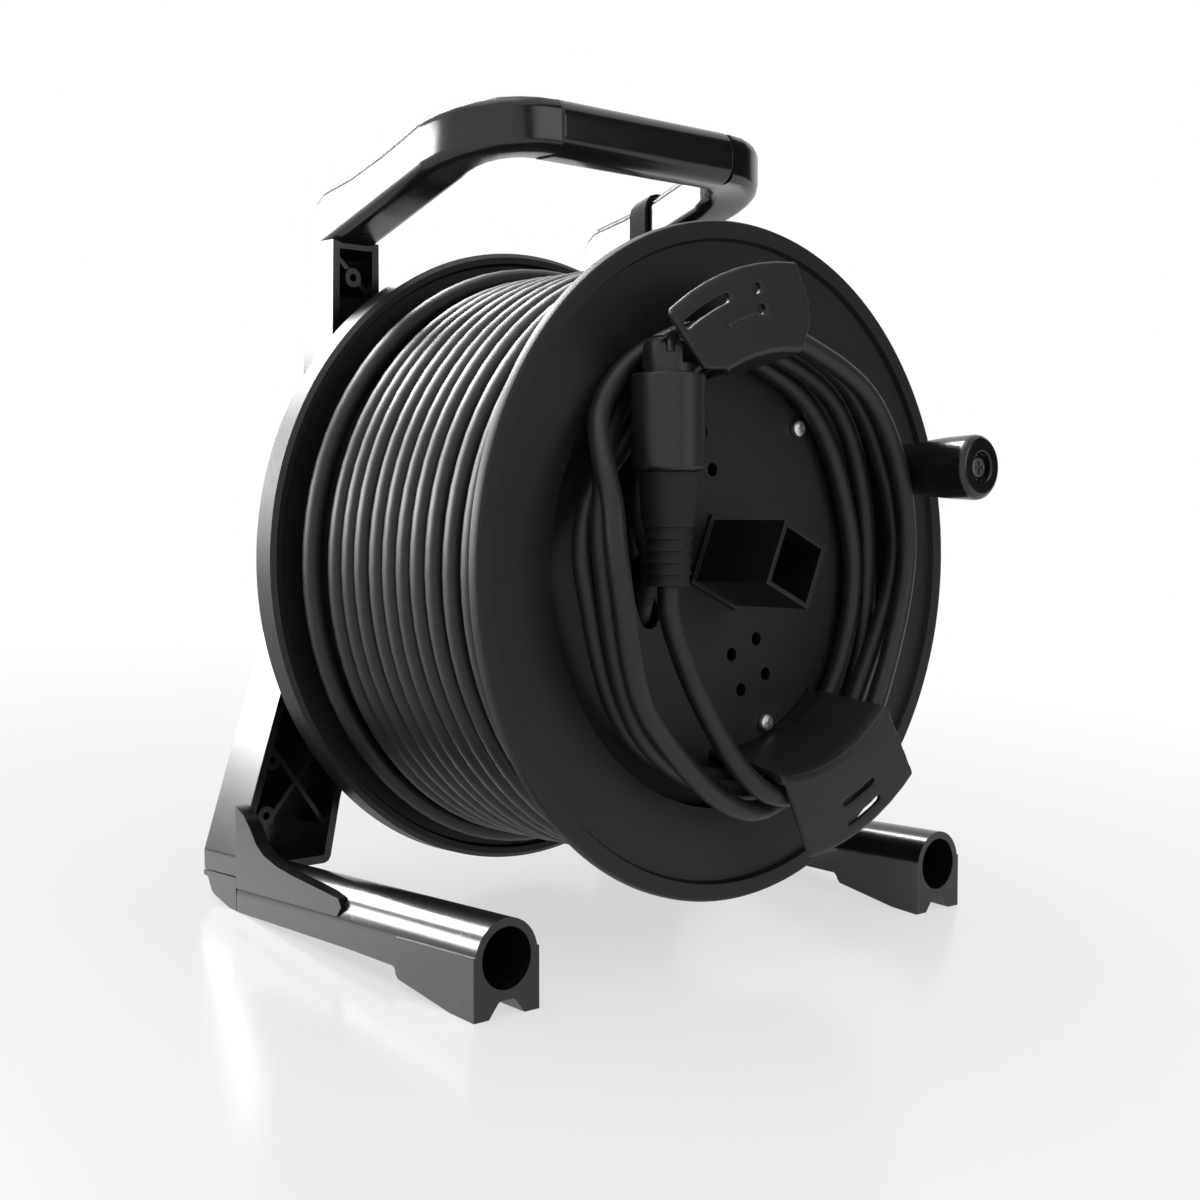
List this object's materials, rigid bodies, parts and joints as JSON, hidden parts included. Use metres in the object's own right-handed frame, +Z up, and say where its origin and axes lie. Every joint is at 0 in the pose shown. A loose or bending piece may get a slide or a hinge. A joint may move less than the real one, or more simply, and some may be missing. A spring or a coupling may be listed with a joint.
{
  "type": "network cable reel",
  "caption": "Hand-cranked network cable reel: flanged drum with wound cable and a stored cable end, on a moulded standing frame with two feet and a carrying handle",
  "frame": {"origin": "on the ground, at the centre of the reel's footprint box", "axes": "+Z up, +Y from the drum's open front towards the standing frame, +X to the right seen from the front; the drum's axis leans 5.46 degrees back from level, front end high"},
  "size_m": [0.2456, 0.191, 0.2912],
  "materials": {
    "black_plastic": "black moulded plastic with a fine satin texture",
    "gloss_plastic": "smooth black plastic with a soft shine",
    "soft_grip": "black soft rubber, matt",
    "cable_jacket": "black flexible cable jacket, satin",
    "bright_steel": "bright zinc-plated steel",
    "brass": "plain turned brass"
  },
  "bodies": {
    "frame": {"rear_frame": "black_plastic", "handle_grip": "soft_grip", "arm_strap": "soft_grip", "left_foot": "black_plastic", "right_foot": "black_plastic", "left_foot_cap": "soft_grip", "right_foot_cap": "soft_grip", "left_cap_screw": "bright_steel", "right_cap_screw": "bright_steel", "left_leg_screw": "bright_steel", "right_leg_screw": "bright_steel", "axle": "bright_steel", "retaining_washer": "bright_steel", "axle_screw": "bright_steel", "axle_washer": "bright_steel", "axle_nut": "bright_steel"},
    "drum": {"front_flange": "black_plastic", "rear_flange": "black_plastic", "drum_barrel": "black_plastic", "front_bush": "brass", "rear_bush": "brass", "floor_panel": "black_plastic", "panel_screw_1": "bright_steel", "panel_screw_2": "bright_steel", "panel_screw_3": "bright_steel", "flange_screw_1": "bright_steel", "flange_screw_2": "bright_steel", "flange_screw_3": "bright_steel", "square_post": "gloss_plastic", "lower_cable_saddle": "black_plastic", "upper_cable_saddle": "black_plastic", "crank_spindle": "bright_steel", "crank_screw": "bright_steel", "crank_washer": "bright_steel", "winding_core": "cable_jacket", "wound_cable": "cable_jacket", "inner_cable": "cable_jacket", "stored_cable": "cable_jacket", "connector_shell": "black_plastic", "connector_bushing": "soft_grip", "connector_insert": "black_plastic", "connector_latch": "black_plastic"},
    "crank": {"crank_grip": "black_plastic"}
  },
  "joints": [
    {"name": "drum_spin", "type": "hinge", "parent": "frame", "child": "drum", "pos_m": [0, -0.05963, 0.13599], "axis": [0, 0.9955, -0.0951], "continuous": true},
    {"name": "crank_grip_spin", "type": "hinge", "parent": "drum", "child": "crank", "pos_m": [0.0885, -0.0564, 0.16981], "axis": [0, 0.9955, -0.0951], "continuous": true}
  ]
}
